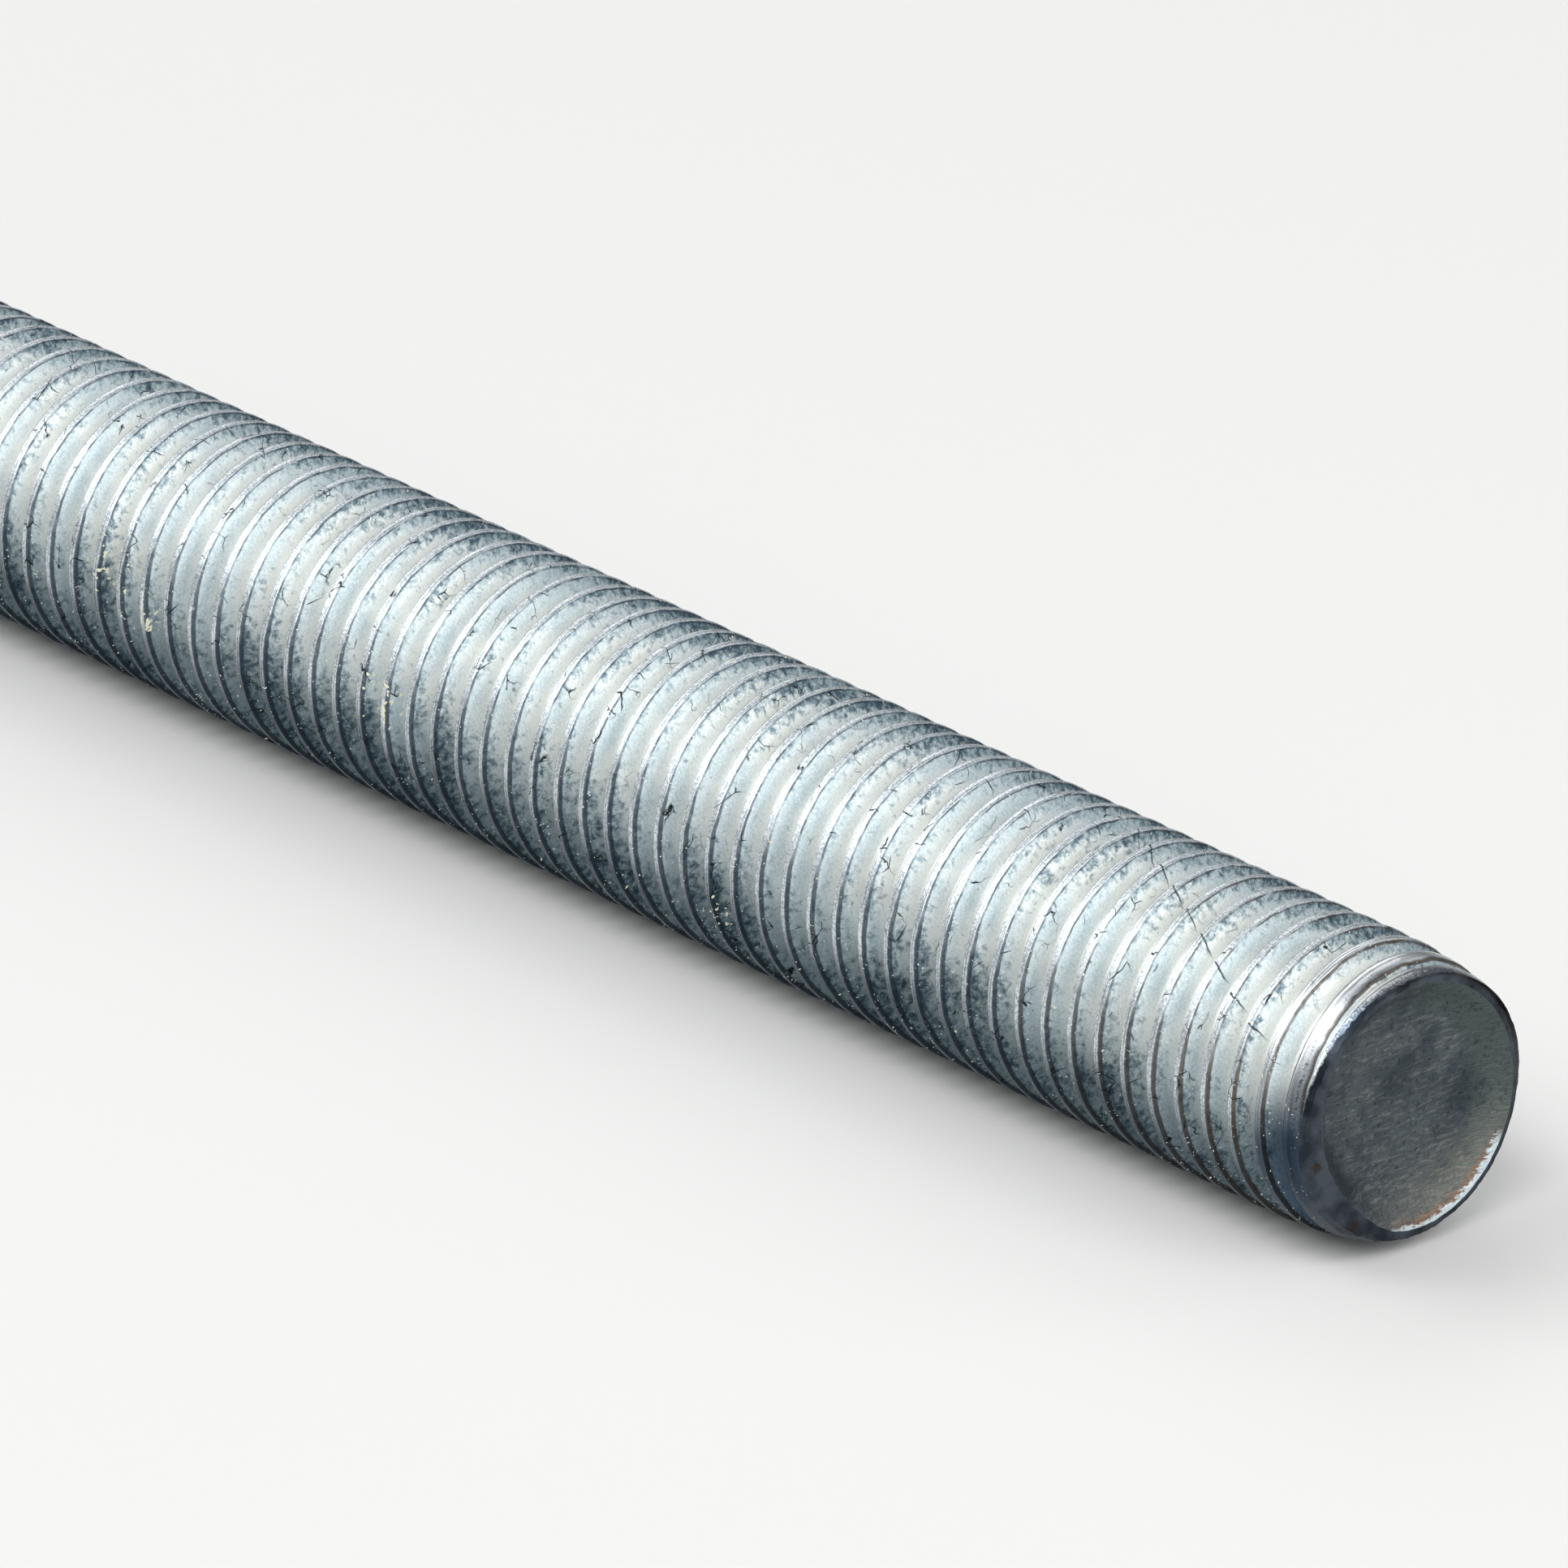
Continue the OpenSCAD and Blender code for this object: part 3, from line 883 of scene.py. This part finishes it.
def shearedSteel():
    look = shearLook
    material, tree, shader, mm = startMetal("sheared steel")
    parts = addNode(tree, "SeparateXYZ", {0: mm}).node.outputs
    flat = addNode(tree, "CombineXYZ", {"Y": parts["Y"], "Z": parts["Z"]})
    fromAxis = addNode(tree, "VectorMath", {0: flat, 1: (0.0, 0.0, crestRadius)}, operation="SUBTRACT")
    radius = addNode(tree, "VectorMath", {0: fromAxis}, operation="LENGTH", output="Value")
    drawn = addNode(tree, "VectorMath", {
        0: mm, 1: (1.0, 1 / look["strokeLength"], 1 / look["strokeWidth"])}, operation="MULTIPLY")
    stroke = addNode(tree, "TexNoise", {
        "Vector": drawn, "Scale": 1.0, "Detail": 6.0, "Roughness": 0.66, "Distortion": 0.8})
    cloud = addNode(tree, "TexNoise", {
        "Vector": mm, "Scale": 1 / look["stainSize"], "Detail": 6.0, "Roughness": 0.62,
        "Distortion": 0.4})
    pit = addNode(tree, "TexNoise", {"Vector": mm, "Scale": 1 / look["pitSize"], "Detail": 3.0})
    stained = addNode(tree, "MapRange", {"Value": cloud, **span(0.44, 0.62), "To Max": 0.65})
    pitted = addNode(tree, "MapRange", {"Value": pit, **span(0.3, 0.42), "To Min": 0.7, "To Max": 0.0})
    pale = addNode(tree, "MapRange", {"Value": stroke, **span(0.5, 0.64), "To Max": 0.7})
    strokes = addNode(tree, "MixRGB", {
        "Fac": pale, "Color1": hexColour(look["steel"]), "Color2": hexColour(look["strokePale"])})
    stains = addNode(tree, "MixRGB", {
        "Fac": stained, "Color1": strokes, "Color2": hexColour(look["stain"])})

    # the wall toward the rim, nicked by the blade
    wallUneven = addNode(tree, "Math", {0: cloud, 1: 1.4, 2: radius}, operation="MULTIPLY_ADD")
    wallRing = addNode(tree, "MapRange", {"Value": wallUneven, **span(*look["wallSpan"]), "To Max": 0.8})
    wallSide = addNode(tree, "MapRange", {
        "Value": parts["Y"], **span(*look["wallSide"])}, interpolation_type="SMOOTHSTEP")
    wall = addNode(tree, "Math", {0: wallRing, 1: wallSide}, operation="MULTIPLY")
    walled = addNode(tree, "MixRGB", {"Fac": wall, "Color1": stains, "Color2": hexColour(look["wall"])})
    nickField = addNode(tree, "TexNoise", {
        "Vector": mm, "Scale": 1 / look["nickSize"], "Detail": 5.0, "Roughness": 0.6})
    nick = addNode(tree, "MapRange", {"Value": nickField, **span(0.57, 0.7), "To Max": 0.7})
    nickHere = addNode(tree, "Math", {0: nick, 1: wall}, operation="MULTIPLY")
    nicked = addNode(tree, "MixRGB", {"Fac": nickHere, "Color1": walled, "Color2": hexColour(look["nick"])})
    pits = addNode(tree, "MixRGB", {"Fac": pitted, "Color1": nicked, "Color2": hexColour(look["stain"])})

    # the painted highlight along the rim, the warm fringe painted inside it, and the painted sheen on the
    # floor toward it
    a = math.radians(look["brightAngle"])
    toward = addNode(tree, "VectorMath", {
        0: fromAxis, 1: (0.0, math.sin(a), -math.cos(a))}, operation="DOT_PRODUCT", output="Value")
    share = addNode(tree, "Math", {0: toward, 1: radius}, operation="DIVIDE")
    lowerSide = addNode(tree, "MapRange", {"Value": share, **span(*look["warmSpan"])})
    rimStroke = addNode(tree, "Math", {0: stroke, 1: 1.1, 2: radius}, operation="MULTIPLY_ADD")
    rimPit = addNode(tree, "Math", {0: pit, 1: 0.5, 2: rimStroke}, operation="MULTIPLY_ADD")
    rimLow = addNode(tree, "Math", {0: share, 1: -0.45, 2: -0.13}, operation="MULTIPLY_ADD")
    rimUneven = addNode(tree, "Math", {0: rimPit, 1: rimLow}, operation="ADD")
    # painted highlight along the rim on the lit side
    rimHighlight = addNode(tree, "MapRange", {"Value": rimUneven, **span(*look["rimSpan"])})
    warm = addNode(tree, "MapRange", {"Value": rimUneven, **span(*look["fringeSpan"]), "To Max": 0.5})
    warmHere = addNode(tree, "Math", {0: warm, 1: lowerSide}, operation="MULTIPLY")
    lowerWide = addNode(tree, "MapRange", {"Value": share, **span(*look["rimHighlightSpan"])})
    rimHighlightHere = addNode(tree, "Math", {0: rimHighlight, 1: lowerWide}, operation="MULTIPLY")
    # painted sheen on the floor toward the lit side
    sheenToward = addNode(tree, "MapRange", {
        "Value": toward, **span(*look["paintedSheenSpan"]), "To Max": 0.9}, interpolation_type="SMOOTHSTEP")
    sheenStrokes = addNode(tree, "MapRange", {"Value": pale, "To Min": 0.35, "To Max": 1.0})
    sheenHere = addNode(tree, "Math", {0: sheenToward, 1: sheenStrokes}, operation="MULTIPLY")
    sheened = addNode(tree, "MixRGB", {"Fac": sheenHere, "Color1": pits, "Color2": hexColour(look["paintedSheen"])})
    fringed = addNode(tree, "MixRGB", {
        "Fac": warmHere, "Color1": sheened, "Color2": hexColour(look["fringe"])})
    rimHighlighted = addNode(tree, "MixRGB", {
        "Fac": rimHighlightHere, "Color1": fringed, "Color2": hexColour(look["bright"])})
    tree.links.new(rimHighlighted, shader.inputs["Base Color"])
    rough = addNode(tree, "MapRange", {
        "Value": stroke, **span(0.3, 0.7), "To Min": look["roughness"] - 0.08,
        "To Max": look["roughness"] + 0.12})
    tree.links.new(rough, shader.inputs["Roughness"])
    relief = addNode(tree, "Math", {0: pit, 1: 0.6, 2: stroke}, operation="MULTIPLY_ADD")
    bump = addNode(tree, "Bump", {
        "Height": relief, "Distance": look["reliefDepth"] * millimetre, "Strength": 0.8})
    tree.links.new(bump, shader.inputs["Normal"])
    return material


rod = makeRod()
for finish in (zincPlate(), croppedLip(), shearedSteel()):
    rod.data.materials.append(finish)
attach(rod, "root")
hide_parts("rod")
print("finishes made")


# Floor and light
floorLook = {"colour": "#E6E6E4", "size": 8.0, "roughness": 0.9}
studio = {"aim": (0.0, 0.0, 0.01), "skyColour": "#E6EEF5", "skyStrength": 0.09}
# each softbox: name, direction from the rod, distance and sides in m, power in W
softboxes = [
    ("right key", (0.80, 0.12, 0.59), 2.0, (1.2, 1.2), 15.2),
    ("low right", (0.88, -0.38, 0.28), 2.0, (1.3, 0.8), 10.8),
    ("right back", (0.56, 0.72, 0.41), 2.0, (1.2, 1.0), 4.0),
    ("left front", (-0.68, -0.48, 0.55), 2.0, (1.3, 1.2), 13.8),
    ("left top", (-0.66, 0.06, 0.75), 2.0, (1.2, 1.2), 5.0),
    ("left back", (-0.62, 0.50, 0.60), 2.0, (1.0, 1.0), 5.0),
    ("back", (0.05, 0.80, 0.60), 2.3, (1.6, 1.3), 4.0),
    ("front", (0.35, -0.55, 0.75), 2.0, (1.2, 1.2), 16.2),
    ("nose top", (-0.27, -0.42, 0.86), 2.0, (0.7, 0.7), 5.6),
]


def makeFloor():
    mesh = bpy.data.meshes.new("floor")
    half = floorLook["size"] / 2
    corners = [(-half, -half, 0), (half, -half, 0), (half, half, 0), (-half, half, 0)]
    mesh.from_pydata(corners, [], [(0, 1, 2, 3)])
    floor = bpy.data.objects.new("floor", mesh)
    bpy.context.scene.collection.objects.link(floor)
    material = bpy.data.materials.new("pale floor")
    material.use_nodes = True
    shader = material.node_tree.nodes["Principled BSDF"]
    shader.inputs["Base Color"].default_value = hexColour(floorLook["colour"])
    shader.inputs["Roughness"].default_value = floorLook["roughness"]
    mesh.materials.append(material)


def makeLights():
    aim = Vector(studio["aim"])
    for name, direction, distance, sides, power in softboxes:
        light = bpy.data.lights.new(name + " softbox", "AREA")
        light.shape = "RECTANGLE"
        light.size, light.size_y = sides
        light.energy = power
        lamp = bpy.data.objects.new(name + " softbox", light)
        lamp.location = aim + Vector(direction) * distance
        lamp.rotation_mode = "QUATERNION"
        lamp.rotation_quaternion = Vector(direction).to_track_quat("Z", "Y")
        bpy.context.scene.collection.objects.link(lamp)
    world = bpy.data.worlds.new("studio")
    bpy.context.scene.world = world
    world.use_nodes = True
    sky = world.node_tree.nodes["Background"]
    sky.inputs["Color"].default_value = hexColour(studio["skyColour"])
    sky.inputs["Strength"].default_value = studio["skyStrength"]


makeFloor()
makeLights()
bpy.context.scene.view_settings.view_transform = "Standard"
print("floor and lights placed")
